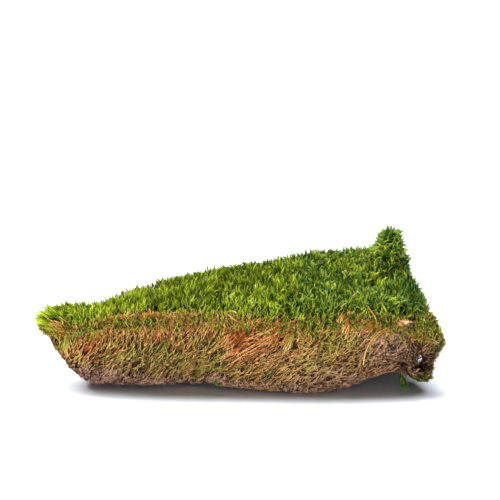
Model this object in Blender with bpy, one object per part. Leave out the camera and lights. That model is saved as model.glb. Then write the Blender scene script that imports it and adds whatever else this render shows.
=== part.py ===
"""A clump of cushion moss lifted from the ground: a mat of dead stems with a carpet of live moss on it.

The clump lies as it does on a table. X runs along its long front, -Y is the front, +Z is up, and the
origin is under the middle of its box, on the surface that it rests on. All sizes are in metres.
"""

from math import cos, pi, radians, sin, sqrt

import bmesh
import bpy
from mathutils import Vector, noise
from mathutils.bvhtree import BVHTree

MM = 0.001

# The clump's own extent. Stations along X are given in millimetres, as are the sizes at each of them.
LEFT_TIP, RIGHT_END = -137.0, 129.0
LENGTH = RIGHT_END - LEFT_TIP

# (x, size) pairs. Between two of them a size changes smoothly.
FRONT_Y = (
    (-137, -48), (-128, -57), (-115, -63), (-100, -66), (-65, -69), (-30, -69), (10, -71),
    (40, -73), (70, -72), (100, -68), (118, -64), (129, -60),
)
REAR_Y = (
    (-137, -39), (-128, -37), (-115, -33), (-102, -29), (-87, -23), (-70, -12), (-45, 6), (-10, 30),
    (35, 52), (70, 65), (95, 71), (108, 68), (117, 50), (129, -14),
)
TOP_Z = (
    (-137, 47), (-128, 51), (-112, 53.5), (-92, 55), (-65, 59), (-35, 61), (10, 62.5), (60, 63),
    (95, 64), (118, 63), (129, 59),
)
UNDER_Z = (
    (-137, 38), (-127, 35), (-119, 24), (-113, 13.5), (-106, 6), (-98, 1), (-90, -1.5), (62, -1.5),
    (74, 1.5), (84, 4.5), (95, 7.5), (103, 10), (112, 12.5), (129, 15),
)
# How far the underside's front edge lies behind the front.
UNDERCUT = (
    (-137, 1), (-118, 4), (-100, 8), (-82, 8), (-62, 9), (-42, 13), (-20, 14), (0, 9), (20, 6),
    (55, 5), (72, 8), (90, 10), (129, 8),
)
# Height of the line on the front where the live moss ends and the dead stems show.
GREEN_LINE_Z = (
    (-137, 37), (-125, 35), (-108, 39), (-94, 44), (-84, 50), (-55, 53), (-25, 52), (8, 49),
    (45, 47.5), (74, 51), (92, 48), (110, 46), (129, 43),
)
# A tuft stands up out of the top near the rear right corner.
TUFT_HEIGHT = 24.0
TUFT_X, TUFT_HALF_X = 110.5, 18.0
TUFT_Y, TUFT_HALF_Y = 34.0, 32.0
TUFT_UNDER_SHARE = 0.6  # the layer below the live moss rises by this share of the tuft

LEFT_ROUNDING, RIGHT_ROUNDING = 8.0, 10.0  # the ends close over these lengths
END_BLUNTNESS = 2.6  # 2 closes an end as an ellipse, more makes it squarer
LIP = 1.6  # the live moss overhangs the stems by this much
SHOULDER = 7.0
REAR_TUCK = 8.0

STATIONS = 44
SAMPLES_PER_SPAN = 2
TOP_SHARES = (0.2, 0.36, 0.5, 0.62, 0.74, 0.86)  # control points over the top, as shares of the depth
LUMP, LUMP_SIZE = 2.2, 26.0
BUMP, BUMP_SIZE = 0.9, 9.0
CALM_ENDS = 20.0  # the lumps fade out over this length at both ends

SEAM = 0.3  # between touching layers
CUTTER_HALF_X, CUTTER_HALF_Y = 160.0, 100.0
CUTTER_CELLS_X, CUTTER_CELLS_Y = 32, 16
CUTTER_TOP = 130.0

# The torn lobe at the right end curls round a hollow. Its outline is seen from the front.
LOBE_FRONT_Y, LOBE_REAR_Y = -67.0, -36.0
LOBE_REAR_SCALE = 0.66  # it narrows towards its rear, about the point below
LOBE_ROOT = (114.0, 36.0)
LOBE_ROUNDING = 3.5
LOBE_OUTLINE = (
    (112, 12), (116, 7.5), (122, 5), (127.5, 6), (130.5, 12), (131, 20), (133.5, 26), (136.3, 31),
    (135.5, 38), (132.5, 43), (131, 50), (126, 54), (120, 51), (115, 42), (112, 28),
)
HOLLOW_CENTRE, HOLLOW_HALF_X, HOLLOW_HALF_Z = (121.8, 19.0), 4.4, 7.2
HOLLOW_POINTS = 8
HOLLOW_REAR_Y = -31.0

SPRIG_X, SPRIG_Y, SPRIG_FOOT_Z = 110.5, -61.5, 0.6
SPRIG_HALF_WIDTH, SPRIG_TILT = 3.2, radians(16)

FLAKE_X, FLAKE_Z = 108.5, 50.0
FLAKE_HALF_THICKNESS = 0.3
FLAKE_OUTLINE = ((-5.2, 0.4), (-2.6, 2.6), (1.2, 3.1), (4.6, 1.6), (5.4, -0.8), (2.0, -3.0), (-2.2, -2.0))

STEM_RADIUS, STEM_STANDOFF = 0.7, 1.1
STEM_ROUTE = ((83, 20), (83.5, 27), (86, 34), (90, 40.5), (95, 44.5), (101, 46.5))

COLOURS = {
    "living_moss": (0.16, 0.30, 0.03),
    "stem_mat": (0.24, 0.15, 0.06),
    "hanging_sprig": (0.06, 0.22, 0.04),
    "dry_leaf_flake": (0.62, 0.40, 0.22),
    "loose_stem": (0.55, 0.42, 0.16),
}
MOSS_ROUGHNESS = 0.85


def smooth(share):
    share = min(1.0, max(0.0, share))
    return share * share * (3 - 2 * share)


def at(x, table):
    """The size that a table of (x, size) pairs gives at x."""
    if x <= table[0][0]:
        return table[0][1]
    for (x0, size0), (x1, size1) in zip(table, table[1:]):
        if x <= x1:
            return size0 + (size1 - size0) * smooth((x - x0) / (x1 - x0))
    return table[-1][1]


def tuft(x, y):
    """How far the tuft lifts the top at this place."""
    away = sqrt(((x - TUFT_X) / TUFT_HALF_X) ** 2 + ((y - TUFT_Y) / TUFT_HALF_Y) ** 2)
    return TUFT_HEIGHT * smooth(1.15 * (1 - away))


def green_line(x, y):
    return at(x, GREEN_LINE_Z) + TUFT_UNDER_SHARE * tuft(x, y)


def section_corners(x):
    """Control points (y, z) of the cross-section at x: up the front, over the top and down the rear."""
    front, rear = at(x, FRONT_Y), at(x, REAR_Y)
    top, under, undercut = at(x, TOP_Z), at(x, UNDER_Z), at(x, UNDERCUT)
    line = max(at(x, GREEN_LINE_Z), under + 0.35 * (top - under))
    depth = rear - front
    narrow = min(1.0, depth / 45)
    shoulder, tuck, lip = SHOULDER * narrow, REAR_TUCK * narrow, LIP * narrow

    def top_at(share):
        y = front + share * depth
        return y, top + tuft(x, y)

    return (
        (front + undercut, under),
        (front + undercut * 0.45, under + 0.25 * (line - under)),
        (front + lip + undercut * 0.1, under + 0.6 * (line - under)),
        (front + lip, under + 0.97 * (line - under)),
        (front, line + 0.45 * (top - line)),
        (front + shoulder, top - 1.2 * narrow),
        *(top_at(share) for share in TOP_SHARES),
        (rear - shoulder * 0.5, top - 2.5 * narrow),
        (rear, top - (top - under) * 0.22),
        (rear - tuck * 0.35, under + 0.42 * (top - under)),
        (rear - tuck, under),
        (front + 0.6 * depth, under - 0.8),
    )


def closed_curve(corners):
    """Points on the smooth closed curve through these corners."""
    points = []
    count = len(corners)
    for i in range(count):
        a, b, c, d = (Vector(corners[(i + k) % count]) for k in (-1, 0, 1, 2))
        for step in range(SAMPLES_PER_SPAN):
            t = step / SAMPLES_PER_SPAN
            points.append(
                0.5 * (2 * b + (c - a) * t + (2 * a - 5 * b + 4 * c - d) * t**2 + (3 * b - a - 3 * c + d) * t**3)
            )
    return points


def end_factor(x):
    """1 along the clump, falling to 0 at its two ends, so that they close round."""
    inside = min((x - LEFT_TIP) / LEFT_ROUNDING, (RIGHT_END - x) / RIGHT_ROUNDING)
    return max(0.0, 1 - (1 - min(1.0, inside)) ** END_BLUNTNESS) ** (1 / END_BLUNTNESS)


def station_places():
    """Places of the cross-sections, closer together towards both ends."""
    shares = [0.5 - 0.5 * cos(pi * i / STATIONS) for i in range(1, STATIONS)]
    even = [i / STATIONS for i in range(1, STATIONS)]
    return [LEFT_TIP + LENGTH * (0.5 * a + 0.5 * b) for a, b in zip(shares, even)]


def loft_clump():
    """The whole clump as one closed body, before it is parted into its layers."""
    mesh = bmesh.new()
    rings = []
    for x in station_places():
        curve = closed_curve(section_corners(x))
        middle = sum(curve, Vector((0, 0))) / len(curve)
        keep = end_factor(x)
        ring = [middle + (point - middle) * keep for point in curve]
        rings.append([mesh.verts.new((x, y, z)) for y, z in ring])
    for ring, following in zip(rings, rings[1:]):
        for i in range(len(ring)):
            j = (i + 1) % len(ring)
            mesh.faces.new((ring[i], following[i], following[j], ring[j]))
    for ring, x in ((rings[0], LEFT_TIP), (rings[-1], RIGHT_END)):
        middle = sum((v.co for v in ring), Vector()) / len(ring)
        tip = mesh.verts.new((x, middle.y, middle.z))
        for i in range(len(ring)):
            mesh.faces.new((ring[i], ring[(i + 1) % len(ring)], tip))
    bmesh.ops.recalc_face_normals(mesh, faces=mesh.faces)
    roughen(mesh)
    for vertex in mesh.verts:
        vertex.co *= MM
    bmesh.ops.triangulate(mesh, faces=mesh.faces)
    return mesh


def roughen(mesh):
    """Gives the surface the soft lumps of a grown cushion."""
    mesh.normal_update()
    moves = []
    for vertex in mesh.verts:
        lump = LUMP * noise.noise(vertex.co / LUMP_SIZE)
        bump = BUMP * noise.noise(vertex.co / BUMP_SIZE + Vector((9, 4, 2)))
        fade = smooth(min(vertex.co.x - LEFT_TIP, RIGHT_END - vertex.co.x) / CALM_ENDS)
        moves.append(vertex.normal * (lump + bump) * fade)
    for vertex, move in zip(mesh.verts, moves):
        vertex.co += move


def new_object(name, mesh, collection):
    data = bpy.data.meshes.new(name)
    mesh.to_mesh(data)
    mesh.free()
    made = bpy.data.objects.new(name, data)
    collection.objects.link(made)
    return made


def layer_block(name, lower, upper, collection):
    """A block over the whole clump, between two heights that are functions of x and y."""
    mesh = bmesh.new()
    bmesh.ops.create_grid(mesh, x_segments=CUTTER_CELLS_X, y_segments=CUTTER_CELLS_Y, size=1)
    bottom = list(mesh.verts)
    for vertex in bottom:
        vertex.co.x *= CUTTER_HALF_X
        vertex.co.y *= CUTTER_HALF_Y
        vertex.co.z = lower(vertex.co.x, vertex.co.y)
    raised = bmesh.ops.extrude_face_region(mesh, geom=list(mesh.faces))["geom"]
    for vertex in (item for item in raised if isinstance(item, bmesh.types.BMVert)):
        vertex.co.z = upper(vertex.co.x, vertex.co.y)
    bmesh.ops.recalc_face_normals(mesh, faces=mesh.faces)
    for vertex in mesh.verts:
        vertex.co *= MM
    bmesh.ops.triangulate(mesh, faces=mesh.faces)
    return hide(new_object(name, mesh, collection))


def hide(helper):
    helper.hide_render = True
    helper.display_type = "WIRE"
    return helper


def narrow_lobe(body):
    """Draws the lobe's outline in towards its root, the more the farther back it is."""
    root_x, root_z = (value * MM for value in LOBE_ROOT)
    for vertex in body.data.vertices:
        back = (body.location.y - vertex.co.z) / MM - LOBE_FRONT_Y
        share = back / (LOBE_REAR_Y - LOBE_FRONT_Y)
        keep = 1 + (LOBE_REAR_SCALE - 1) * share
        vertex.co.x = root_x + (vertex.co.x - root_x) * keep
        vertex.co.y = root_z + (vertex.co.y - root_z) * keep


def boolean(target, operation, other):
    modifier = target.modifiers.new(f"{operation.lower()}_{other.name}", "BOOLEAN")
    modifier.operation = operation
    modifier.object = other
    modifier.solver = "EXACT"


def paint(made, colour):
    material = bpy.data.materials.new(made.name)
    material.use_nodes = True
    shader = material.node_tree.nodes["Principled BSDF"]
    shader.inputs["Base Color"].default_value = (*colour, 1)
    shader.inputs["Roughness"].default_value = MOSS_ROUGHNESS
    shader.inputs["Metallic"].default_value = 0
    made.data.materials.clear()
    made.data.materials.append(material)


def smooth_spline(curve, points, cyclic):
    """Adds a smooth flat spline through these points, in millimetres, to a curve."""
    spline = curve.splines.new("BEZIER")
    spline.bezier_points.add(len(points) - 1)
    for knot, (x, y) in zip(spline.bezier_points, points):
        knot.co = (x * MM, y * MM, 0)
        knot.handle_left_type = knot.handle_right_type = "AUTO"
    spline.use_cyclic_u = cyclic
    spline.resolution_u = 3


def hollow_outline():
    centre_x, centre_z = HOLLOW_CENTRE
    turns = [2 * pi * i / HOLLOW_POINTS for i in range(HOLLOW_POINTS)]
    return [(centre_x + HOLLOW_HALF_X * cos(turn), centre_z + HOLLOW_HALF_Z * sin(turn)) for turn in turns]


def upright_body(name, outline, front_y, rear_y, rounding, grow, collection):
    """An outline in X and Z, given its depth from front_y to rear_y. grow swells it on every side."""
    curve = bpy.data.curves.new(name, "CURVE")
    curve.dimensions = "2D"
    curve.fill_mode = "BOTH"
    smooth_spline(curve, outline, cyclic=True)
    curve.bevel_depth = rounding * MM
    curve.bevel_resolution = 1
    curve.offset = (grow - rounding) * MM
    curve.extrude = ((rear_y - front_y) / 2 + grow - rounding) * MM
    made = bpy.data.objects.new(name, curve)
    made.rotation_euler = (pi / 2, 0, 0)
    made.location = (0, (front_y + rear_y) / 2 * MM, 0)
    collection.objects.link(made)
    return as_mesh(made, collection)


def as_mesh(curve_object, collection):
    """The same shape as a welded mesh, in place of the curve."""
    bpy.context.view_layer.update()
    graph = bpy.context.evaluated_depsgraph_get()
    data = bpy.data.meshes.new_from_object(curve_object.evaluated_get(graph))
    mesh = bmesh.new()
    mesh.from_mesh(data)
    bmesh.ops.remove_doubles(mesh, verts=mesh.verts, dist=1e-6)
    bmesh.ops.recalc_face_normals(mesh, faces=mesh.faces)
    mesh.to_mesh(data)
    mesh.free()
    made = bpy.data.objects.new(curve_object.name, data)
    made.matrix_world = curve_object.matrix_world
    collection.objects.link(made)
    name = curve_object.name
    bpy.data.objects.remove(curve_object)
    made.name = name
    return made


def outside_tree(layers):
    """What a ray from outside meets: the layers as they are once parted."""
    bpy.context.view_layer.update()
    graph = bpy.context.evaluated_depsgraph_get()
    joined = bmesh.new()
    for layer in layers:
        joined.from_mesh(layer.evaluated_get(graph).to_mesh())
    tree = BVHTree.FromBMesh(joined)
    joined.free()
    return tree


def front_at(tree, x, z, reach):
    """The foremost Y, in millimetres, within reach of (x, z) on the front."""
    found = []
    for dx in (-reach, 0, reach):
        for dz in (-reach, 0, reach):
            start = Vector(((x + dx) * MM, -0.2, (z + dz) * MM))
            hit = tree.ray_cast(start, Vector((0, 1, 0)))[0]
            if hit is not None:
                found.append(hit.y / MM)
    return min(found)


def make_sprig(tree, collection):
    """A live shoot that hangs from the underside and just clears the ground."""
    lowest = []
    for turn in range(8):
        dx, dy = (SPRIG_HALF_WIDTH * f(turn * pi / 4) for f in (cos, sin))
        start = Vector(((SPRIG_X + dx) * MM, (SPRIG_Y + dy) * MM, -0.05))
        lowest.append(tree.ray_cast(start, Vector((0, 0, 1)))[0].z / MM)
    head = min(lowest) - SEAM
    half = (head - SPRIG_FOOT_Z) / 2
    bpy.ops.mesh.primitive_uv_sphere_add(segments=12, ring_count=8, radius=1)
    made = bpy.context.object
    made.name = "hanging_sprig"
    for vertex in made.data.vertices:
        thin = 0.55 + 0.45 * vertex.co.z
        lean = vertex.co.z * half * sin(SPRIG_TILT)
        vertex.co = (
            (vertex.co.x * SPRIG_HALF_WIDTH * thin - lean + SPRIG_X) * MM,
            (vertex.co.y * SPRIG_HALF_WIDTH * 0.8 * thin + SPRIG_Y) * MM,
            (vertex.co.z * half + SPRIG_FOOT_Z + half) * MM,
        )
    for owner in made.users_collection:
        owner.objects.unlink(made)
    collection.objects.link(made)
    return made


def make_flake(tree, collection):
    """A flake of dry leaf caught on the front."""
    curve = bpy.data.curves.new("dry_leaf_flake", "CURVE")
    curve.dimensions = "2D"
    curve.fill_mode = "BOTH"
    smooth_spline(curve, FLAKE_OUTLINE, cyclic=True)
    curve.extrude = FLAKE_HALF_THICKNESS * MM
    made = bpy.data.objects.new("dry_leaf_flake", curve)
    front = front_at(tree, FLAKE_X, FLAKE_Z, reach=4) - FLAKE_HALF_THICKNESS - SEAM
    made.location = (FLAKE_X * MM, front * MM, FLAKE_Z * MM)
    made.rotation_euler = (pi / 2, 0, 0)
    collection.objects.link(made)
    return made


def make_loose_stem(tree, collection):
    """A long dead stem that lies loose along the front."""
    curve = bpy.data.curves.new("loose_stem", "CURVE")
    curve.dimensions = "3D"
    curve.bevel_depth = STEM_RADIUS * MM
    curve.bevel_resolution = 1
    curve.use_fill_caps = True
    spline = curve.splines.new("NURBS")
    spline.points.add(len(STEM_ROUTE) - 1)
    for knot, (x, z) in zip(spline.points, STEM_ROUTE):
        y = front_at(tree, x, z, reach=3) - STEM_STANDOFF
        knot.co = (x * MM, y * MM, z * MM, 1)
    spline.order_u = 3
    spline.use_endpoint_u = True
    spline.resolution_u = 3
    made = bpy.data.objects.new("loose_stem", curve)
    collection.objects.link(made)
    return made


def centre(pieces, everything):
    """Moves everything so that the origin lies under the middle of the pieces' box."""
    bpy.context.view_layer.update()
    graph = bpy.context.evaluated_depsgraph_get()
    corners = []
    for piece in pieces:
        shown = piece.evaluated_get(graph)
        corners.extend(shown.matrix_world @ Vector(corner) for corner in shown.bound_box)
    for axis in (0, 1):
        spread = [corner[axis] for corner in corners]
        middle = (min(spread) + max(spread)) / 2
        for item in everything:
            item.location[axis] -= middle


def build():
    for leftover in list(bpy.data.objects):
        bpy.data.objects.remove(leftover)
    clump = bpy.data.collections.new("moss_clump")
    helpers = bpy.data.collections.new("cutters")
    for collection in (clump, helpers):
        bpy.context.scene.collection.children.link(collection)

    lobe = upright_body("lobe", LOBE_OUTLINE, LOBE_FRONT_Y, LOBE_REAR_Y, LOBE_ROUNDING, 0, helpers)
    pocket = upright_body("lobe_pocket", LOBE_OUTLINE, LOBE_FRONT_Y, LOBE_REAR_Y, 0, SEAM, helpers)
    hollow = upright_body("hollow", hollow_outline(), LOBE_FRONT_Y - 9, HOLLOW_REAR_Y, 0, 0, helpers)
    narrow_lobe(lobe)
    narrow_lobe(pocket)
    for helper in (lobe, pocket, hollow):
        hide(helper)

    half = SEAM / 2
    moss = new_object("living_moss", loft_clump(), clump)
    above = layer_block("above_line", lambda x, y: green_line(x, y) + half, lambda x, y: CUTTER_TOP, helpers)
    boolean(moss, "INTERSECT", above)
    boolean(moss, "DIFFERENCE", pocket)

    mat = new_object("stem_mat", loft_clump(), clump)
    below = layer_block("below_line", lambda x, y: 0.0, lambda x, y: green_line(x, y) - half, helpers)
    boolean(mat, "INTERSECT", below)
    boolean(mat, "UNION", lobe)
    boolean(mat, "DIFFERENCE", hollow)

    tree = outside_tree([moss, mat])
    small = [
        make_sprig(tree, clump),
        as_mesh(make_flake(tree, clump), clump),
        as_mesh(make_loose_stem(tree, clump), clump),
    ]
    for made in [moss, mat, *small]:
        paint(made, COLOURS[made.name])
    centre([moss, mat, *small], [*clump.objects, *helpers.objects])


build()
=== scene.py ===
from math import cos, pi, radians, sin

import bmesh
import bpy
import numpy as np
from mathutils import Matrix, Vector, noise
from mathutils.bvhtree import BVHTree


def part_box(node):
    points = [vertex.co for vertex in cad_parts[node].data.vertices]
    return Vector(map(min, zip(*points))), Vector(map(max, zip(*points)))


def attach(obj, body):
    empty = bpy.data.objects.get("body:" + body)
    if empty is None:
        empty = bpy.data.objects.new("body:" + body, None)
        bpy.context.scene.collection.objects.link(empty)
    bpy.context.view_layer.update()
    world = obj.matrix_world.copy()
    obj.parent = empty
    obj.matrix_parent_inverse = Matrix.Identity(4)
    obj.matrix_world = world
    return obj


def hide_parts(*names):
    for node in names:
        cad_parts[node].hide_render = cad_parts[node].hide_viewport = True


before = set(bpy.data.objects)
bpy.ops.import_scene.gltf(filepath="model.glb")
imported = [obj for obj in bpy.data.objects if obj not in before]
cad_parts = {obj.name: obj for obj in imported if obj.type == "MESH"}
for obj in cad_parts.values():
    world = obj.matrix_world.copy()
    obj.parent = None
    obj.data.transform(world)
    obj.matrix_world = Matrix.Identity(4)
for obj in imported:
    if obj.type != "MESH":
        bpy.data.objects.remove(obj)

# The looks of a clump of cushion moss. Leaves, stems and felt are joined meshes that are grown on the
# part's solids and reach their surface. Places are in the row frame. The camera's and the studio's
# are in metres, and the other sizes and places that are named below are in millimetres. A pair (x, z)
# is a place on the front. For the wool, the areas and the strays it is read on the upright plane
# FACE_Y, as the camera sees it.

MM = 0.001
UP = np.array([0.0, 0.0, 1.0])
# Corners this close, in metres, are one place: for the normals, and in the beds' welded meshes.
SAME_PLACE, WELD = 1e-5, 1e-6
# The share of each UV cell that stays empty at its sides.
UV_MARGIN = 0.15
FACE_Y = -72.0
# How near above a place something has to lie to cover it: for the shoots, and for the low felt and moss.
COVER_MM, LOW_COVER_MM = 4.0, 1.5

# The camera, from the photograph's perspective.
CAMERA_PITCH = radians(16.5)
CAMERA_DISTANCE = 0.83
CAMERA_AIM = Vector((0.0087, 0.0015, 0.0785))
CAMERA_AHEAD = Vector((0, cos(CAMERA_PITCH), -sin(CAMERA_PITCH)))
EYE = CAMERA_AIM - CAMERA_DISTANCE * CAMERA_AHEAD
FOCAL_PIXELS, FRAME_PIXELS, SENSOR = 1180, 500, 36

# The studio. Each lamp has the place it shines from, its spread in degrees and its power. The keys make
# a wide strip of soft light from above and a little behind, and the fill is low and in front.
LAMPS = {
    "key_left": ((-0.75, 0.33, 1.0), 26, 4.8),
    "key_middle": ((0.0, 0.31, 1.0), 26, 3.0),
    "key_right": ((0.45, 0.33, 1.0), 26, 1.8),
    "fill": ((-0.6, -1.0, 0.045), 5, 2.6),
}
SKY_COLOUR, SKY_STRENGTH = (0.82, 0.89, 1.0), 0.08
FLOOR_COLOUR, FLOOR_SIZE, FLOOR_MIDDLE = (0.77, 0.81, 0.88), 40, (0, 8, 0)

# The carpet of live shoots, which grow down to these tilts of the surface.
CARPET_TRIES, SHOOT_GAP_MM, LEAVES_PER_SHOOT = 42000, 2.4, 11
CARPET_TILT, FAN_TILT = -0.45, -0.97
CARPET_DEPTH_MM, FAN_MORE_DEPTH_MM, LAST_LEAF_MM = 10.0, 4.5, 6.4
CARPET_TOP_MM, CARPET_REACH_MM, CARPET_BED_MM = 90.2, 76.2, 4.5
LEAF_LENGTH_MM, LEAF_WIDTH_MM = (5.5, 10.0), (0.8, 1.4)
LEAF_RINGS, LEAF_PROFILE = 4, (0.75, 1.0, 0.7)
# The angle from each leaf to the next one up its stem.
LEAF_TURN = 2.4
# The tip at the left end, where the shoots fan out from one root, the right half with its more curled
# leaves, and the tuft.
FAN_FROM_X, FAN_TO_X, FAN_ROOT = -100, -122, (-104, 34)
CURLY_X, TUFT_Z = (10, 60), (67, 78)

# The fringe of blades along the line between the live carpet and the dead mat, and that line's height
# along the front: (x, z).
FRINGE_BLADES, FRINGE_TRIES, DROOPING_SHARE = 8000, 14, 0.3
FRINGE_FOOT_MM, FRINGE_TOP_MM = -8, (-2, 7.5)
FRINGE_LENGTH_MM, FRINGE_WIDTH_MM = (4.0, 9.0), (0.55, 1.05)
FRINGE_RINGS, FRINGE_PROFILE = 5, (0.8, 1.0, 0.85, 0.5)
GREEN_LINE = (
    (-136, 37), (-124, 35), (-107, 39), (-93, 44), (-83, 50), (-54, 53), (-24, 52), (9, 49),
    (46, 47.5), (75, 51), (93, 48), (111, 46), (130, 43),
)

# The mat of dead shoots. Its front lies before FRONT_Y.
MAT_TRIES, MAT_DEEP_SHOOTS, MAT_GAP_MM = 16000, 1800, 0.88
MAT_STEP_MM, MAT_STEPS, MAT_EDGE_MM = 2.9, 5, 1.1
MAT_STEM_RADIUS_MM, MAT_BED_MM = 0.21, 2.2
MAT_LEAF_GAP_MM = 0.8
MAT_LEAF_LENGTH_MM, MAT_LEAF_WIDTH_MM = (1.4, 3.6), (0.34, 0.62)
FRONT_Y = -20
# The felt at the foot of the mat rises by FELT_MORE_MM towards the left end, over these x. A patch of
# wool lies on the front at the right.
FELT_TOP_MM, FELT_MORE_MM, FELT_RISE_X = 6.0, 8, (-105, -50)
FELT_FIBRES, FELT_CRUMBS, FELT_TRIES = 9000, 3500, 9
FELT_LENGTH_MM, FELT_WIDTH_MM = (2.0, 5.0), (0.3, 0.6)
WOOL_MIDDLE, WOOL_REACH = (101, 28), (15, 13)
# The front edge of the underside hangs clear of the ground by this much, between these x and up to
# these y.
EDGE_LIFT_MM, EDGE_LIFT_FROM, EDGE_LIFT_TO, EDGE_RAMP_MM = 3.0, -104, 8, 14
EDGE_LIFT_Y = (-52, -40)

# The torn lobe: where its felt, its felt that is painted dark as shade, its moss and its thin bed lie.
LOBE_FELT_X, LOBE_SHADE_X, LOBE_FELT_Y, LOBE_FELT_TOP = 112, 114, -30, 32
LOBE_MOSS_X, LOBE_MOSS_Y, LOBE_MOSS_GAP_MM, LOBE_MOSS_TRIES, LOBE_LEAVES = 113, -32, 1.3, 60000, 7
LOBE_LEAF_LENGTH_MM, LOBE_LEAF_WIDTH_MM = (2.2, 4.4), (0.6, 1.0)
LOBE_BED_X, LOBE_BED_Y, LOBE_BED_SHARE = 111, -28, 0.3
# Its hollow: middle (x, z), half its width and height, half those of the gap in the moss round it,
# and the y over which fibres reach in.
HOLLOW_MIDDLE, HOLLOW_HALF, HOLLOW_MOSS_HALF = (122.5, 19.0), (4.4, 7.2), (6.5, 9.5)
HOLLOW_FIBRES, HOLLOW_Y, TORN_STEPS = 70, (-62, -42), 5
# The notch between the lobe's left wall and the underside of the mat, with the fibres that hang in it.
NOTCH_FIBRES, NOTCH_Y, NOTCH_TOP_X, NOTCH_TOP_Z = 150, (-66, -40), (107.5, 112.5), 18.5
NOTCH_END_X, NOTCH_END_Z = (109.5, 115.5), (8.5, 13.5)

# The sprig, the loose stem and the dry leaf.
SPRIG_LEAVES, SPRIG_STATIONS, SPRIG_ROOT_MM = 80, 9, (-1.2, -1.5, 4.5)
SPRIG_LEAF_LENGTH_MM, SPRIG_LEAF_WIDTH_MM = (4.5, 7.5), (1.0, 1.6)
HUSKS, LOOSE_STEM_STATIONS = 90, 15
HUSK_LENGTH_MM, HUSK_WIDTH_MM = (2.0, 3.8), (0.4, 0.8)
SLENDER_RINGS, SLENDER_PROFILE = 5, (0.7, 1.0, 0.9, 0.6)
SHEET_TURNS, SHEET_RINGS, SHEET_MM = 40, 7, 0.22

# Areas of the front of the mat: (x, z), reach in x, reach in z, hue, change of light, felt.
MAT_AREAS = (
    ((-47, 23), 48, 13, 0.34, 0.02, 0.05),
    ((-88, 10), 26, 8, 0.42, -0.12, 0.55),
    ((54, 35), 32, 12, 0.42, 0.18, 0.0),
    ((22, 25), 24, 10, 0.54, 0.02, 0.2),
    ((-63, 51), 28, 8, 0.64, 0.24, 0.0),
    ((-20, 49), 24, 8, 0.62, 0.10, 0.1),
    ((-94, 41), 20, 9, 0.66, 0.15, 0.0),
    ((-71, 31), 7, 4, 0.20, 0.05, 0.0),
    ((-18, 20), 9, 6, 0.22, 0.04, 0.0),
    ((-52, 44), 6, 5, 0.86, 0.10, 0.0),
    ((-102, 34), 9, 8, 0.90, 0.10, 0.0),
    ((5, 37), 11, 8, 0.97, 0.10, 0.0),
    ((0, 28), 10, 5, 0.78, 0.16, 0.0),
    ((28, 44), 7, 7, 0.90, -0.12, 0.0),
    ((75, 50), 11, 6, 0.66, 0.28, 0.0),
    ((87, 48), 7, 4, 0.88, 0.05, 0.0),
    ((103, 45), 11, 6, 0.16, 0.0, 0.0),
    ((71, 39), 6, 4, 0.14, 0.12, 0.0),
    ((57, 30), 4, 4, 0.86, 0.22, 0.0),
    ((60, 34), 13, 8, 0.26, 0.10, 0.0),
    ((44, 14), 16, 6, 0.36, 0.16, 0.1),
    ((60, 15), 9, 5, 0.40, 0.30, 0.4),
    ((72, 8), 34, 8, 0.55, -0.01, 0.85),
    ((101, 28), 17, 15, 0.52, -0.16, 0.9),
    ((126, 46), 10, 10, 0.05, -0.4, 0.0),
    ((133, 36), 6, 8, 0.12, -0.3, 0.0),
    ((116, 38), 6, 4, 0.74, 0.05, 0.0),
    # Painted shade round the lobe's hollow.
    ((121, 21), 10, 12, 0.4, -0.85, 0.5),
    ((131, 27), 4, 6, 0.5, 0.1, 0.9),
)

# Stray strands that lie over the front: how many stations each has, and the width of the live ones.
STRAY_STEPS, STRAY_PROFILE = 9, (0.6, 0.85, 1.0, 1.0, 0.95, 0.85, 0.7, 0.4)
# The dead ones: places along, how many, how far apart, radius, hue, light.
STRAY_STEMS = (
    (((-34.8, 58.3), (-37.5, 52.1), (-41.5, 43.8)), 1, 0.0, 0.42, 0.16, 1.0),
    (((42.5, 50.1), (29.6, 45.2), (13.9, 37.6), (-7.1, 24.2)), 8, 3.2, 0.20, 0.47, 0.95),
    (((38.6, 48.7), (35.5, 40.4), (31.0, 29.2)), 4, 0.8, 0.36, 0.22, 0.9),
    (((-12.0, 59.0), (-5.6, 57.0), (2.8, 51.4)), 2, 0.5, 0.36, 0.45, 1.0),
    (((69.0, 58.3), (67.8, 52.8), (66.7, 47.3)), 4, 0.9, 0.45, 0.58, 1.0),
    (((73.0, 54.9), (71.8, 48.7), (70.0, 41.7)), 5, 1.2, 0.40, 0.66, 1.0),
    (((29.5, 49.4), (26.3, 42.4), (23.1, 34.1)), 9, 1.6, 0.36, 0.95, 0.55),
    (((83.8, 63.1), (87.2, 59.0), (90.5, 54.2), (91.3, 50.1)), 1, 0.0, 0.45, 0.60, 1.0),
    (((105.0, 50.8), (94.7, 45.2), (87.8, 37.6), (84.8, 27.8)), 8, 3.0, 0.2, 0.44, 0.9),
    (((91.9, 52.1), (86.2, 48.7), (80.4, 44.5)), 9, 1.5, 0.34, 0.90, 0.6),
    (((-110.0, 42.0), (-116.3, 47.0), (-122.3, 50.1)), 14, 2.6, 0.28, 0.66, 0.6),
    (((-110.0, 46.0), (-110.5, 37.0), (-108.6, 28.0)), 12, 2.4, 0.26, 0.50, 0.75),
    (((9.5, 44.0), (0.5, 37.0), (-8.0, 30.0)), 7, 3.6, 0.22, 0.93, 0.75),
    (((16.6, 5.8), (23.3, 2.9), (30.5, 2.2)), 3, 0.8, 0.26, 0.52, 0.8),
    (((112.0, 38.0), (119.0, 45.0), (122.0, 53.0)), 5, 2.0, 0.2, 0.50, 0.7),
    (((119.0, 40.0), (127.0, 39.0), (134.0, 36.0)), 5, 2.2, 0.2, 0.50, 0.7),
)
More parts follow.
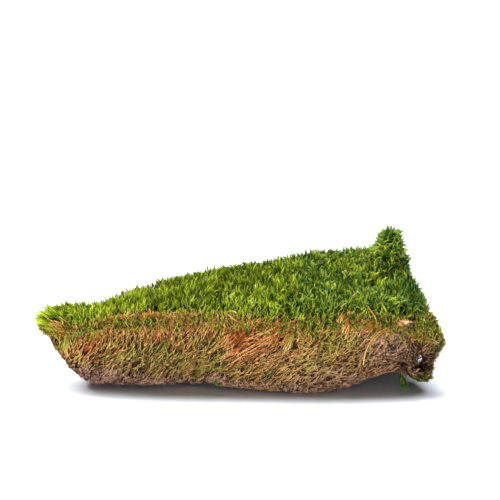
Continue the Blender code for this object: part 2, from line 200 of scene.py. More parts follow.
# The live ones: places along, how many, how far apart, width, tone, straw.
STRAY_LEAVES = (
    (((-110.1, 46.3), (-111.2, 38.3), (-113.6, 29.5)), 15, 2.0, 0.8, 0.55, 0.45),
    (((-111.8, 47.3), (-111.2, 53.2), (-109.4, 56.3), (-106.8, 57.3), (-104.9, 55.2)), 1, 0.0, 1.1, 1.0, 0.4),
    (((-82.4, 49.4), (-90.3, 46.6), (-99.5, 43.8), (-107.4, 42.8), (-116.6, 42.4)), 5, 0.4, 0.7, 0.25, 0.0),
    (((-116.0, 42.6), (-124.0, 42.0), (-135.0, 43.6)), 5, 0.8, 0.9, 0.25, 0.0),
    (((-102.0, 50.0), (-97.0, 46.5), (-92.0, 46.0)), 3, 0.8, 0.8, 0.5, 0.1),
    (((-43.5, 44.0), (-47.2, 36.8), (-53.0, 28.4)), 3, 0.8, 0.6, 0.3, 0.2),
    (((114.3, 61.1), (111.8, 59.0), (107.4, 56.3)), 2, 0.5, 1.2, 1.0, 0.1),
    (((-16.4, 6.5), (-13.8, 8.3), (-10.5, 5.8)), 4, 0.8, 1.1, 0.5, 0.0),
    (((92.8, 66.6), (95.5, 62.5), (97.0, 57.0)), 2, 0.6, 1.1, 0.9, 0.4),
    (((46.0, 62.0), (41.0, 57.0), (45.0, 52.0)), 3, 1.5, 1.0, 1.0, 0.1),
)


# Numbers and noise

def unit(vectors):
    lengths = np.linalg.norm(vectors, axis=-1, keepdims=True)
    return vectors / np.maximum(lengths, 1e-12)


def smooth(low, high, values):
    share = np.clip((values - low) / (high - low), 0, 1)
    return share * share * (3 - 2 * share)


def near(x, z, middle, reach_x, reach_z):
    """1 at the middle, and less with the distance from it."""
    return np.exp(-(((x - middle[0]) / reach_x) ** 2) - ((z - middle[1]) / reach_z) ** 2)


def varied(values, spread, rng):
    """The values with some chance added, held between 0 and 1."""
    return np.clip(values + rng.normal(0, spread, len(values)), 0, 1)


def wave(places, size_mm, seed):
    """Smooth noise from -1 to 1 at each place."""
    shift = Vector((seed * 3.7, seed * 1.3, seed * 7.1))
    return np.array([noise.noise(Vector(p) / (size_mm * MM) + shift) for p in places])


def only(keep, *arrays):
    """The kept rows of each array."""
    return [array[keep] for array in arrays]


def around(axis, spin, aside):
    """Directions square to each axis, turned round it by spin."""
    u = unit(np.cross(axis, np.array([aside])))
    v = np.cross(axis, u)
    return u * np.cos(spin)[:, None] + v * np.sin(spin)[:, None]


def off_ground(points, height_mm):
    points[..., 2] = np.maximum(points[..., 2], height_mm * MM)
    return points


# Surfaces and scattering

def face_crosses(corners):
    return np.cross(corners[:, 1] - corners[:, 0], corners[:, 2] - corners[:, 0])


def node_triangles(name):
    """Corners (n, 3, 3) and corner normals of a solid's triangles, in the row frame."""
    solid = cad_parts[name]
    mesh = solid.data
    mesh.calc_loop_triangles()
    index = np.empty(len(mesh.loop_triangles) * 3, dtype=np.int32)
    mesh.loop_triangles.foreach_get("vertices", index)
    points = np.empty(len(mesh.vertices) * 3)
    mesh.vertices.foreach_get("co", points)
    matrix = np.array(solid.matrix_world)
    points = points.reshape(-1, 3) @ matrix[:3, :3].T + matrix[:3, 3]
    corners = points[index].reshape(-1, 3, 3)
    # Smooth normals from all vertices at the same place.
    keys = np.round(points[index] / SAME_PLACE).astype(np.int64)
    where = np.unique(keys, axis=0, return_inverse=True)[1].ravel()
    summed = np.zeros((where.max() + 1, 3))
    np.add.at(summed, where, np.repeat(face_crosses(corners), 3, axis=0))
    return corners, unit(summed)[where].reshape(-1, 3, 3)


def tree_of(*triangles):
    points = np.concatenate([corners.reshape(-1, 3) for corners in triangles])
    faces = [(i, i + 1, i + 2) for i in range(0, len(points), 3)]
    return BVHTree.FromPolygons([Vector(p) for p in points], faces)


def scatter(corners, normals, count, rng):
    """Points spread evenly over the triangles, with their normals."""
    areas = np.linalg.norm(face_crosses(corners), axis=1)
    pick = np.searchsorted(np.cumsum(areas) / areas.sum(), rng.random(count))
    a, b = rng.random((2, count, 1))
    flip = (a + b) > 1
    a, b = np.where(flip, 1 - a, a), np.where(flip, 1 - b, b)
    c = 1 - a - b
    places = corners[pick, 0] * c + corners[pick, 1] * a + corners[pick, 2] * b
    turned = normals[pick, 0] * c + normals[pick, 1] * a + normals[pick, 2] * b
    return places, unit(turned)


def spaced(places, gap):
    """True for the places that are kept so that no two lie closer than the gap."""
    cells = np.floor(places / gap).astype(int).tolist()
    beside = [(a, b, c) for a in (-1, 0, 1) for b in (-1, 0, 1) for c in (-1, 0, 1)]
    grid, kept = {}, []
    for (x, y, z), (cx, cy, cz) in zip(places.tolist(), cells):
        others = [grid.get((cx + a, cy + b, cz + c)) for a, b, c in beside]
        free = all(
            o is None or (o[0] - x) ** 2 + (o[1] - y) ** 2 + (o[2] - z) ** 2 > gap * gap for o in others
        )
        if free:
            grid[cx, cy, cz] = (x, y, z)
        kept.append(free)
    return np.array(kept)


def uncovered(places, normals, reach_mm=COVER_MM):
    """True where nothing lies close over the surface, so not in the seam between the layers."""
    free = np.ones(len(places), dtype=bool)
    for i, (place, normal) in enumerate(zip(places, normals)):
        start = Vector(place + normal * 0.1 * MM)
        free[i] = CLUMP.ray_cast(start, Vector(normal), reach_mm * MM)[0] is None
    return free


def green_line(x):
    xs, zs = zip(*GREEN_LINE)
    return np.interp(x, xs, zs)


def as_seen(places):
    """Where the camera sees each place on the front plane: x and z in millimetres."""
    eye = np.array(EYE)
    ray = places - eye
    met = eye + ray * ((FACE_Y * MM - eye[1]) / ray[:, 1])[:, None]
    return met[:, 0] / MM, met[:, 2] / MM


def on_face(x, z, lift):
    """The place on the clump that is seen at (x, z) on the front plane, lifted off towards the eye."""
    aim = Vector((x * MM, FACE_Y * MM, z * MM))
    ray = (aim - EYE).normalized()
    hit = CLUMP.ray_cast(EYE, ray)[0]
    return None if hit is None else hit - ray * lift


def curve(points, stations):
    """A smooth line through the points, at evenly spread stations."""
    points = np.array(points, dtype=float)
    ends = [2 * points[:1] - points[1:2], points, 2 * points[-1:] - points[-2:-1]]
    padded = np.concatenate(ends)
    spot = np.linspace(0, len(points) - 1, stations)
    k = np.minimum(spot.astype(int), len(points) - 2)
    t = (spot - k)[:, None]
    a, b, c, d = (padded[k + i] for i in range(4))
    return 0.5 * (2 * b + (c - a) * t + (2 * a - 5 * b + 4 * c - d) * t**2 + (3 * b - a - 3 * c + d) * t**3)


def along_lines(lines, which, spot):
    """The place at each spot along its line, the direction there, and the step it lies in."""
    k = np.minimum(spot.astype(int), lines.shape[1] - 2)
    t = (spot - k)[:, None]
    first, second = lines[which, k], lines[which, k + 1]
    return first * (1 - t) + second * t, unit(second - first), k


# Strands

def arcs(root, heading, bend, length, curl, rings):
    """Points (n, rings, 3) along flat arcs that start along heading and curl towards bend."""
    bend = unit(bend - heading * np.sum(bend * heading, axis=1, keepdims=True))
    t = np.linspace(0, 1, rings)[None, :]
    curl = np.maximum(curl, 0.02)[:, None]
    along = np.sin(curl * t) / curl
    aside = (1 - np.cos(curl * t)) / curl
    path = heading[:, None] * along[..., None] + bend[:, None] * aside[..., None]
    return root[:, None] + length[:, None, None] * path, unit(np.cross(heading, bend))


def ribbons(name, points, side, width, profile, values, order):
    """Joined tapering blades. profile holds the width at each ring but the last, which is the tip."""
    count, rings = points.shape[:2]
    per = 2 * (rings - 1) + 1
    half = side[:, None] * (0.5 * width[:, None] * np.array(profile)[None, :])[..., None]
    body = points[:, :-1]
    verts = np.empty((count, per, 3))
    verts[:, 0:-1:2] = body - half
    verts[:, 1:-1:2] = body + half
    verts[:, -1] = points[:, -1]
    first = (np.arange(count) * per)[:, None]
    quads = np.concatenate([first + 2 * k + np.array([[0, 1, 3, 2]]) for k in range(rings - 2)], axis=1)
    tips = first + 2 * (rings - 2) + np.array([[0, 1, 2]])
    loops = np.concatenate([quads, tips], axis=1).ravel()
    sizes = np.tile([4] * (rings - 2) + [3], count)
    along = np.repeat(np.linspace(0, 1, rings)[:-1], 2).tolist() + [1.0]
    across = [0.0, 1.0] * (rings - 1) + [0.5]
    return strand_mesh(name, verts, loops, sizes, along, across, values, order)


def ribbon_parts(name, parts, points, side, width, values, order, material, slot):
    """Leaves in several pieces, one for each label and the leaves that are in it."""
    for label, part in parts.items():
        some = {key: data[part] for key, data in values.items()}
        shape = (points[part], side[part], width[part], LEAF_PROFILE)
        dress(ribbons(f"{name}_{label}", *shape, some, order[part]), material, slot)


def tubes(name, points, radius, values, order, sides=3):
    """Joined round stems. radius is (n, rings)."""
    count, rings = points.shape[:2]
    tangent = unit(np.gradient(points, axis=1))
    rest = np.where(np.abs(tangent[..., 2:]) > 0.9, [[[1.0, 0, 0]]], [[[0, 0, 1.0]]])
    u = unit(np.cross(tangent, rest))
    v = np.cross(tangent, u)
    turns = 2 * pi * np.arange(sides) / sides
    ring = u[:, :, None] * np.cos(turns)[:, None] + v[:, :, None] * np.sin(turns)[:, None]
    verts = (points[:, :, None] + ring * radius[:, :, None, None]).reshape(count, rings * sides, 3)
    first = (np.arange(count) * rings * sides)[:, None]
    faces = []
    for k in range(rings - 1):
        for s in range(sides):
            n = (s + 1) % sides
            faces.append([k * sides + s, k * sides + n, (k + 1) * sides + n, (k + 1) * sides + s])
    quads = (first[:, :, None] + np.array(faces)[None]).reshape(count, -1)
    sizes = np.full(count * len(faces), 4)
    along = np.repeat(np.linspace(0, 1, rings), sides).tolist()
    across = np.tile(np.linspace(0, 1, sides), rings).tolist()
    return strand_mesh(name, verts, quads.ravel(), sizes, along, across, values, order)


def strand_mesh(name, verts, loops, sizes, along, across, values, order):
    """A mesh of many like strands, with a value of each kind per strand and a cell of its own in UV."""
    count, per = verts.shape[:2]
    mesh = bpy.data.meshes.new(name)
    mesh.vertices.add(count * per)
    mesh.vertices.foreach_set("co", verts.astype(np.float32).ravel())
    mesh.loops.add(len(loops))
    mesh.loops.foreach_set("vertex_index", loops.astype(np.int32))
    mesh.polygons.add(len(sizes))
    starts = np.concatenate([[0], np.cumsum(sizes)[:-1]])
    mesh.polygons.foreach_set("loop_start", starts.astype(np.int32))
    mesh.update(calc_edges=True)
    for key, strand_values in values.items():
        write_values(mesh, key, np.repeat(strand_values, per))
    write_values(mesh, "along", np.tile(along, count))
    grid = int(np.ceil(np.sqrt(count)))
    rank = np.empty(count, dtype=np.int64)
    rank[np.argsort(order)] = np.arange(count)
    cell = np.stack([rank % grid, rank // grid], axis=1)
    inside = UV_MARGIN + (1 - 2 * UV_MARGIN) * np.stack([across, along], axis=1)
    uv = (cell[:, None] + inside[None]) / grid
    layer = mesh.uv_layers.new(name="OFBake")
    layer.data.foreach_set("uv", uv.reshape(-1, 2)[loops].astype(np.float32).ravel())
    return smooth_object(name, mesh)


def write_values(mesh, name, data):
    layer = mesh.attributes.new(name, "FLOAT", "POINT")
    layer.data.foreach_set("value", data.astype(np.float32))


def smooth_object(name, mesh):
    mesh.polygons.foreach_set("use_smooth", np.ones(len(mesh.polygons), dtype=bool))
    made = bpy.data.objects.new(name, mesh)
    bpy.context.scene.collection.objects.link(made)
    return made


def live_values(tone, straw, cool):
    return {"tone": tone, "straw": straw, "cool": cool}


def dead_values(hue, light, felt):
    return {"hue": hue, "light": light, "felt": felt}


def dress(piece, material, slot, *nodes):
    piece.data.materials.clear()
    piece.data.materials.append(material)
    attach(piece, "root")
    if nodes:
        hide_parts(*nodes)


# Materials

class Paint:
    """A new material, with short ways to add its nodes."""

    def __init__(self, name, roughness, specular):
        self.material = bpy.data.materials.new(name)
        self.material.use_nodes = True
        self.nodes, self.links = self.material.node_tree.nodes, self.material.node_tree.links
        self.shader = self.nodes["Principled BSDF"]
        self.shader.inputs["Roughness"].default_value = roughness
        self.shader.inputs["Specular IOR Level"].default_value = specular

    def ramp(self, factor, *stops):
        node = self.nodes.new("ShaderNodeValToRGB")
        elements = node.color_ramp.elements
        while len(elements) < len(stops):
            elements.new(0.5)
        for element, (place, colour) in zip(elements, stops):
            element.position = place
            element.color = (*colour, 1)
        self.links.new(factor, node.inputs["Fac"])
        return node.outputs["Color"]

    def attribute(self, name):
        node = self.nodes.new("ShaderNodeAttribute")
        node.attribute_name = name
        return node.outputs["Fac"]

    def mix(self, factor, first, second, kind="MIX"):
        node = self.nodes.new("ShaderNodeMix")
        node.data_type = "RGBA"
        node.blend_type = kind
        for socket, value in ((node.inputs[0], factor), (node.inputs[6], first), (node.inputs[7], second)):
            if isinstance(value, bpy.types.NodeSocket):
                self.links.new(value, socket)
            elif isinstance(value, tuple):
                socket.default_value = (*value, 1)
            else:
                socket.default_value = value
        return node.outputs[2]

    def times(self, first, second):
        return self.mix(1.0, first, second, "MULTIPLY")

    def noise(self, size_mm, detail=2.0):
        coords = self.nodes.new("ShaderNodeTexCoord")
        node = self.nodes.new("ShaderNodeTexNoise")
        node.inputs["Scale"].default_value = 1 / (size_mm * MM)
        node.inputs["Detail"].default_value = detail
        self.links.new(coords.outputs["Object"], node.inputs["Vector"])
        return node.outputs["Fac"]

    def bump(self, height, strength, distance_mm):
        node = self.nodes.new("ShaderNodeBump")
        node.inputs["Strength"].default_value = strength
        node.inputs["Distance"].default_value = distance_mm * MM
        self.links.new(height, node.inputs["Height"])
        self.links.new(node.outputs["Normal"], self.shader.inputs["Normal"])

    def coloured(self, colour):
        self.links.new(colour, self.shader.inputs["Base Color"])
        return self.material


def leaf_material():
    """Live leaves: dark at the root, which is painted shade deep in the carpet, yellow-green above, and pale
    at the tip, partly their own colour and partly painted light for light that comes through the leaf. tone
    runs from deep to pale, partly at random and partly as painted shade and light, cool from yellow-green to
    blue-green, and straw to a dead leaf."""
    paint = Paint("live_leaf", 0.5, 0.17)
    along = paint.attribute("along")
    # Each ramp runs from painted shade at the root up the leaf, and the bright one ends in a pale tip that is
    # partly painted light.
    deep = paint.ramp(
        along, (0.0, (0.003, 0.008, 0.001)), (0.4, (0.009, 0.028, 0.001)), (0.8, (0.032, 0.095, 0.003)),
        (1.0, (0.08, 0.17, 0.012)))
    bright = paint.ramp(
        along, (0.0, (0.005, 0.012, 0.001)), (0.35, (0.065, 0.12, 0.002)), (0.7, (0.44, 0.60, 0.006)),
        (1.0, (0.90, 0.92, 0.11)))
    straw = paint.ramp(
        along, (0.0, (0.08, 0.04, 0.012)), (0.5, (0.38, 0.23, 0.04)), (1.0, (0.74, 0.54, 0.15)))
    cool = paint.ramp(
        along, (0.0, (0.004, 0.016, 0.003)), (0.5, (0.025, 0.13, 0.02)), (1.0, (0.20, 0.46, 0.10)))
    green = paint.mix(paint.attribute("tone"), deep, bright)
    green = paint.mix(paint.attribute("cool"), green, cool)
    colour = paint.mix(paint.attribute("straw"), green, straw)
    patch = paint.ramp(paint.noise(14), (0.3, (0.76, 0.77, 0.60)), (0.7, (1.08, 1.03, 0.86)))
    return paint.coloured(paint.times(colour, patch))


def fibre_material():
    """Dead leaves and stems. hue runs from moss green over olive, straw and orange-brown to red."""
    paint = Paint("dead_leaf", 0.7, 0.1)
    hue, strength = paint.attribute("hue"), paint.attribute("light")
    dark = paint.ramp(
        hue, (0.0, (0.010, 0.017, 0.002)), (0.3, (0.030, 0.022, 0.005)), (0.5, (0.050, 0.024, 0.009)),
        (0.75, (0.060, 0.020, 0.005)), (1.0, (0.075, 0.012, 0.004)))
    light = paint.ramp(
        hue, (0.0, (0.33, 0.48, 0.03)), (0.3, (0.65, 0.48, 0.07)), (0.5, (0.95, 0.51, 0.13)),
        (0.75, (0.96, 0.31, 0.05)), (1.0, (0.78, 0.13, 0.02)))
    colour = paint.mix(strength, dark, light)
    felt = paint.mix(strength, (0.036, 0.019, 0.014), (0.82, 0.47, 0.37))
    colour = paint.mix(paint.attribute("felt"), colour, felt)
    # Painted shade and light along each leaf: darker at its base against the stem, and a pale tip, more so on
    # lighter leaves, that is partly its own colour and partly a painted highlight.
    along = paint.attribute("along")
    colour = paint.times(colour, paint.ramp(along, (0.0, (0.30, 0.26, 0.23)), (0.8, (1.15, 1.15, 1.1))))
    pale = paint.times(paint.ramp(along, (0.5, (0.0, 0.0, 0.0)), (1.0, (0.62, 0.62, 0.62))), strength)
    colour = paint.mix(pale, colour, (1.0, 0.80, 0.37))
    grain = paint.ramp(paint.noise(2.2), (0.3, (0.72, 0.68, 0.64)), (0.7, (1.12, 1.1, 1.08)))
    return paint.coloured(paint.times(colour, grain))


def painted_shade_bed_material(name, dark, light, size_mm):
    """The inside that shows between the leaves, painted dark as the shade there."""
    paint = Paint(name, 0.95, 0.05)
    paint.bump(paint.noise(size_mm * 0.5, 6), 0.8, 1.0)
    return paint.coloured(paint.ramp(paint.noise(size_mm, 5), (0.35, dark), (0.7, light)))


def dry_leaf_material():
    """A dead leaf: cream with an orange-brown side, blotches and a darker rim."""
    paint = Paint("dry_leaf", 0.6, 0.15)
    colour = paint.ramp(
        paint.attribute("across"), (0.0, (0.56, 0.25, 0.08)), (0.4, (0.70, 0.40, 0.18)),
        (0.7, (0.78, 0.50, 0.26)), (1.0, (0.58, 0.30, 0.11)))
    blotch = paint.ramp(paint.noise(1.6, 4), (0.38, (0.40, 0.28, 0.2)), (0.56, (1.0, 1.0, 1.0)))
    rim = paint.ramp(paint.attribute("rim"), (0.75, (1.0, 1.0, 1.0)), (1.0, (0.45, 0.33, 0.25)))
    paint.bump(paint.noise(0.7, 5), 0.5, 0.4)
    return paint.coloured(paint.times(paint.times(colour, blotch), rim))


# The live carpet

def carpet_kinds(x, z):
    """How much a shoot belongs to the fan at the left tip, to the curly right half and to the tuft."""
    return smooth(FAN_FROM_X, FAN_TO_X, x), smooth(*CURLY_X, x), smooth(*TUFT_Z, z)


def carpet_heading(places, normals, rng):
    """Which way each live shoot grows: up and out, and fanned out from its root at the left tip."""
    x, y, z = (places / MM).T
    fan = carpet_kinds(x, z)[0][:, None]
    middle = np.median(y[x < FAN_TO_X])
    from_root = unit(np.stack([x - FAN_ROOT[0], 0.5 * (y - middle), 1.25 * (z - FAN_ROOT[1])], axis=1))
    heading = (0.8 * UP + 0.4 * normals) * (1 - fan) + from_root * fan
    sway = np.stack([wave(places, 22, 1), wave(places, 22, 2), np.zeros(len(places))], axis=1)
    return unit(heading + 0.32 * sway + rng.normal(0, 0.1, places.shape))


def carpet_colours(places, turned, shoot, step, rng):
    """tone, straw and cool of each leaf, from its shoot's place and its own step up the shoot. tone is partly
    chance and partly painted light and shade.
    """
    x, y, z = (places / MM).T
    fan, curly, tuft = carpet_kinds(x, z)
    low = 1 - smooth(-0.35, 0.6, turned[:, 2])
    tone = 0.78 + 0.36 * wave(places, 9, 11) + 0.2 * wave(places, 40, 12) + rng.normal(0, 0.26, len(places))
    # Painted light and shade: lighter towards the left end, a little less at its tip, darker over the right
    # half and at the right end below the tuft, darker on shoots of the steep and downward sides and on the
    # fan's downward leaves, and darker low on each shoot. The tuft is lighter.
    tone = tone + 0.7 * (1 - smooth(-105, -45, x)) - 0.3 * fan - 0.35 * curly + 0.2 * tuft
    tone = tone - 0.45 * smooth(102, 122, x) * (1 - tuft) - 0.08 * low
    tone = tone - 0.5 * fan * smooth(0.0, -0.6, turned[:, 2])
    tone = varied(tone[shoot] * (0.3 + 0.7 * step), 0.2, rng)
    # The flank below the tuft is mostly dead.
    flank = smooth(56, 60, z) * (1 - smooth(70, 75, z)) * smooth(88, 100, x) * smooth(8, 22, y) * low
    count = len(shoot)
    straw = 0.7 * low[shoot] * (rng.random(count) < 0.3) * rng.uniform(0.4, 1, count) * (1 - fan[shoot])
    straw = np.maximum(straw, (rng.random(count) < 0.02) * 0.6)
    straw = np.clip(np.maximum(straw, 0.9 * flank[shoot] * (rng.random(count) < 0.6)), 0, 1)
    cool = (rng.random(count) < 0.08 + 0.2 * curly[shoot]) * rng.uniform(0.2, 0.9, count)
    return tone, straw, cool


def held_in(points):
    """Leaves that reach past the carpet's top, or past its front or rear limit, are set back whole."""
    over = np.maximum(points[..., 2].max(axis=1) - CARPET_TOP_MM * MM, 0)
    points[..., 2] -= over[:, None]
    over = np.maximum(np.abs(points[..., 1]).max(axis=1) - CARPET_REACH_MM * MM, 0)
    points[..., 1] -= (over * np.sign(points[:, -1, 1]))[:, None]
    return points


def grow_carpet(rng):
    places, turned = scatter(*MOSS, CARPET_TRIES, rng)
    lowest = np.where(places[:, 0] / MM < FAN_FROM_X - 8, FAN_TILT, CARPET_TILT)
    places, turned = only(turned[:, 2] > lowest, places, turned)
    places, turned = only(spaced(places, SHOOT_GAP_MM * MM), places, turned)
    places, turned = only(uncovered(places, turned), places, turned)
    heading = carpet_heading(places, turned, rng)
    x, _, z = (places / MM).T
    fan, curly, tuft = carpet_kinds(x, z)
    depth = CARPET_DEPTH_MM + FAN_MORE_DEPTH_MM * fan
    tops = places - turned * rng.uniform(0.2, 1.4, (len(places), 1)) * MM
    roots = tops - heading * (depth * MM)[:, None]

    count = len(places) * LEAVES_PER_SHOOT
    shoot = np.repeat(np.arange(len(places)), LEAVES_PER_SHOOT)
    step = np.tile(np.arange(LEAVES_PER_SHOOT), len(places)) / (LEAVES_PER_SHOOT - 1)
    axis = heading[shoot]
    stretch = 1 + 0.4 * fan + 0.2 * curly + 0.1 * tuft
    length = rng.uniform(*LEAF_LENGTH_MM, count) * stretch[shoot] * MM
    out = around(axis, rng.uniform(0, 2 * pi, count), (0.31, 0.9, 0.2))
    spread = rng.uniform(0.04, 0.42, count) * (1.3 - 0.7 * step)
    spread = spread * (1 - 0.45 * fan[shoot]) + 0.55 * tuft[shoot] * step
    leaf = unit(axis + out * spread[:, None])
    base = roots[shoot] + axis * (step * (depth[shoot] - LAST_LEAF_MM) * MM)[:, None]
    lean = np.stack([wave(places, 7, 5), wave(places, 7, 6), wave(places, 7, 7) * 0.3], axis=1)
    bend = unit(out * 0.45 + lean[shoot] * 1.5 + rng.normal(0, 0.3, (count, 3)))
    curl = rng.gamma(2.4, 0.26 + 0.26 * curly[shoot] + 0.12 * tuft[shoot]) * (1 - 0.5 * fan[shoot])
    points, side = arcs(base, leaf, bend, length, np.minimum(curl, 2.4), LEAF_RINGS)
    points = held_in(points)
    side = unit(side + rng.normal(0, 0.35, side.shape))
    width = rng.uniform(*LEAF_WIDTH_MM, count) * MM
    tone, straw, cool = carpet_colours(places, turned, shoot, step, rng)
    third = np.searchsorted(np.quantile(x, (1 / 3, 2 / 3)), x)[shoot]
    parts = {label: third == i for i, label in enumerate(("left", "middle", "right"))}
    values = live_values(tone, straw, cool)
    ribbon_parts("carpet_leaves", parts, points, side, width, values, straw * 2 + tone, LIVE, "living_moss")


def grow_fringe(rng):
    """Ragged blades, green to tan, across the line between the carpet and the mat."""
    corners, normals = (np.concatenate(pair) for pair in zip(MOSS, MAT))
    places, turned = scatter(corners, normals, FRINGE_BLADES * FRINGE_TRIES, rng)
    x, _, z = (places / MM).T
    above = z - green_line(x) - 5 * wave(places, 19, 41) - 3 * wave(places, 6, 43)
    top = rng.uniform(*FRINGE_TOP_MM, len(above))
    keep = (above > FRINGE_FOOT_MM) & (above < top) & (np.abs(turned[:, 2]) < 0.8)
    places, turned, above = only(keep, places, turned, above)
    places, turned, above = only(uncovered(places, turned), places, turned, above)
    places, turned, above = only(slice(FRINGE_BLADES), places, turned, above)
    count = len(places)
    sideways = unit(np.cross(UP, turned))
    drawn = rng.normal(0.1, 0.42, (count, 1))
    heading = unit(UP + 0.35 * turned + sideways * drawn)
    base = places - turned * (rng.uniform(0.6, 2.0, count) * MM)[:, None] - UP * 2 * MM
    bend = unit(turned * rng.normal(0, 0.6, (count, 1)) + sideways * rng.normal(0, 1, (count, 1)))
    # Some blades droop over the mat, but not below the tip at the left end.
    x = places[:, 0] / MM
    droops = ((rng.random(count) < DROOPING_SHARE) & (above > -3) & (x > FAN_FROM_X))[:, None]
    heading = np.where(droops, unit(0.5 * turned - 0.5 * UP + 2.2 * sideways * drawn), heading)
    bend = np.where(droops, unit(bend - 1.2 * UP), bend)
    length = rng.uniform(*FRINGE_LENGTH_MM, count) * (1 + 0.6 * (rng.random(count) < 0.15)) * MM
    points, side = arcs(base, heading, bend, length, rng.gamma(2.2, 0.28, count), FRINGE_RINGS)
    points = held_in(points)
    side = unit(side + 0.8 * np.cross(heading, turned) + rng.normal(0, 0.2, side.shape))
    # Left of the middle the blades turn to straw right below the carpet.
    early = 6 * smooth(-98, -86, x) * (1 - smooth(-45, -15, x))
    green = smooth(-6.5, 3.5, above + rng.normal(0, 2.6, count) + 5 * droops[:, 0] - early)
    straw = varied(1.05 - green, 0.15, rng)
    tone = varied(0.75 + 0.25 * wave(places, 9, 42), 0.18, rng)
    width = rng.uniform(*FRINGE_WIDTH_MM, count) * MM
    values = live_values(tone, straw, (rng.random(count) < 0.08) * 0.6)
    made = ribbons("fringe_blades", points, side, width, FRINGE_PROFILE, values, straw * 2 + tone)
    dress(made, LIVE, "living_moss")


# The dead mat

def mat_lean(x, z):
    """How far the dead shoots lean to the right of upright, in radians."""
    deep = 1 - smooth(20, 46, z)
    right = smooth(-60, 60, x)
    lean = 5 + deep * (36 + 18 * right) + 24 * right * (1 - deep)
    return np.radians(lean + 20 * near(x, z, (12, 36), 26, 12))


def edge_lift(x, y):
    """How far the front edge of the underside hangs clear of the ground, in millimetres."""
    start = smooth(EDGE_LIFT_FROM, EDGE_LIFT_FROM + EDGE_RAMP_MM, x)
    end = 1 - smooth(EDGE_LIFT_TO - EDGE_RAMP_MM, EDGE_LIFT_TO, x)
    return EDGE_LIFT_MM * start * end * (1 - smooth(*EDGE_LIFT_Y, y))


def felt_top(x):
    return FELT_TOP_MM + FELT_MORE_MM * (1 - smooth(*FELT_RISE_X, x))


def mat_colours(places, rng):
    """hue, light and felt for dead shoots that start at these places."""
    x, y, z = (places / MM).T
    hue = 0.48 + 0.12 * smooth(26, 46, z) + 0.2 * wave(places, 13, 21)
    light = 0.68 + 0.36 * wave(places, 6, 22) + 0.06 * smooth(20, 45, z)
    felt = 0.5 * smooth(0.1, 0.5, wave(places, 16, 24)) * (y > 0) * (1 - smooth(22, 36, z))
    seen_x, seen_z = as_seen(places)
    for middle, reach_x, reach_z, area_hue, more_light, area_felt in MAT_AREAS:
        weight = 0.95 * near(seen_x, seen_z, middle, reach_x, reach_z) * (y < FRONT_Y)
        hue = hue + weight * (area_hue - hue)
        light = light + weight * more_light
        felt = felt + weight * (area_felt - felt)
    odd = rng.random(len(places))
    hue = hue + rng.normal(0, 0.13, len(places)) - 0.22 * (odd < 0.12) + 0.25 * (odd > 0.93)
    light = varied(light, 0.28, rng)
    felt = np.maximum(felt, 1 - smooth(-4, 4, z - felt_top(x) - 4 * wave(places, 12, 23)))
    return np.clip(hue, 0, 1), light, np.clip(felt, 0, 1)


def follow(tree, start, normal, rng):
    """A path up the side of the clump that keeps to its surface. Returns points and normals."""
    points, turned = [start], [normal]
    tangled = 1 + 0.9 * smooth(10, 70, start[0] / MM)
    swing = rng.normal(0, 0.24 * tangled)
    for _ in range(MAT_STEPS - 1):
        place, n = points[-1], turned[-1]
        up = UP - n * n[2]
        up = up / max(1e-6, np.linalg.norm(up))
        right = np.cross(up, n)
        facing = 1.0 if n[1] < 0.3 else -1.0
        lean = float(mat_lean(place[0] / MM, place[2] / MM)) * facing + swing
        swing += rng.normal(0, 0.17 * tangled)
        ahead = place + (up * cos(lean) + right * sin(lean)) * MAT_STEP_MM * MM
        hit, hit_normal, _, away = tree.find_nearest(Vector(ahead))
        if away > MAT_EDGE_MM * MM:
            # The side ends here, so the path stops short in place of running along the edge.
            points.append(place + (ahead - place) * 0.15)
            turned.append(n)
            continue
        points.append(np.array(hit))
        turned.append(unit(0.5 * n + 0.5 * np.array(hit_normal)))
    return points, turned


def grow_paths(tree, places, turned, rng):
    """Paths up the side: first some deep ones anywhere, then ones that keep clear of each other."""
    paths, facings, chosen = [], [], []
    taken = set()
    for i, (place, normal) in enumerate(zip(places, turned)):
        path, facing = follow(tree, place, normal, rng)
        if i >= MAT_DEEP_SHOOTS:
            finer = np.concatenate([path, (np.array(path[1:]) + np.array(path[:-1])) / 2])
            cells = {tuple(c) for c in np.floor(finer / (MAT_GAP_MM * MM)).astype(int).tolist()}
            if len(cells & taken) > 3:
                continue
            taken |= cells
        paths.append(path)
        facings.append(facing)
        chosen.append(i)
    return np.array(paths), np.array(facings), np.array(chosen)


def side_tree():
    """The sides of both layers, without the top of the carpet and the flat underside."""
    sides = []
    for corners, normals in (MOSS, MAT):
        tilt = normals.mean(axis=1)[:, 2]
        sides.append(corners[(tilt < 0.75) & (tilt > -0.95)])
    return tree_of(*sides)


